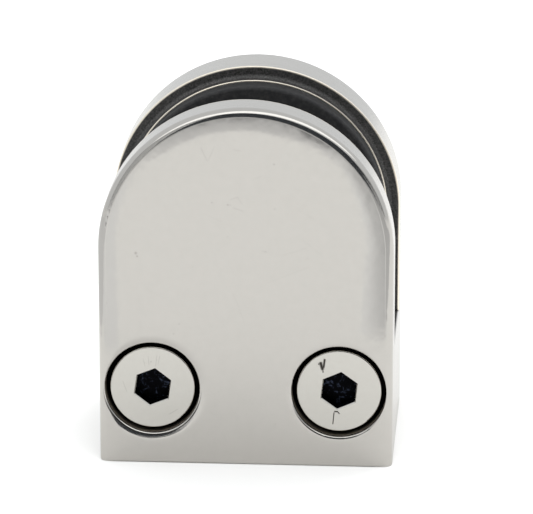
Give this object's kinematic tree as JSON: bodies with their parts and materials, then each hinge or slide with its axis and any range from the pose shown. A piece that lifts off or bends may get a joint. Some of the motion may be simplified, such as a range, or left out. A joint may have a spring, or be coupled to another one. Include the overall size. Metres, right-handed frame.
{
  "type": "glass panel clamp",
  "caption": "D-shaped stainless steel clamp that grips the edge of a glass panel between rubber pads, with a cover drawn in by socket screws and a bolt hole in its flat base.",
  "frame": {"origin": "middle of the flat mounting face at the bottom", "axes": "+Z from the mounting face to the top of the arch, -Y the way the cover faces, +X to the right seen from the cover"},
  "size_m": [0.045, 0.0334, 0.0565],
  "materials": {
    "cast_steel": "cast stainless steel, satin polished outside and left matt between the jaws",
    "screw_steel": "cold-headed stainless steel, bright",
    "pad_rubber": "matt black moulded rubber"
  },
  "bodies": {
    "body": {"body": "cast_steel", "rear_pad": "pad_rubber"},
    "cover": {"cover": "cast_steel", "front_pad": "pad_rubber"},
    "left_screw": {"left_screw": "screw_steel"},
    "right_screw": {"right_screw": "screw_steel"}
  },
  "joints": [
    {"name": "cover_slide", "type": "slide", "parent": "body", "child": "cover", "axis": [0, -1, 0], "range_m": [0, 0.01]},
    {"name": "left_screw_turn", "type": "hinge", "parent": "cover", "child": "left_screw", "pos_m": [-0.0143, -0.01595, 0.012], "axis": [0, -1, 0], "range_deg": [0, 2880.5]},
    {"name": "right_screw_turn", "type": "hinge", "parent": "cover", "child": "right_screw", "pos_m": [0.0143, -0.01595, 0.012], "axis": [0, -1, 0], "range_deg": [0, 2880.5]}
  ],
  "couplings": [
    {"joint": "left_screw_turn", "follows": "cover_slide", "rad_per_m": 5026.5},
    {"joint": "right_screw_turn", "follows": "cover_slide", "rad_per_m": 5026.5}
  ]
}
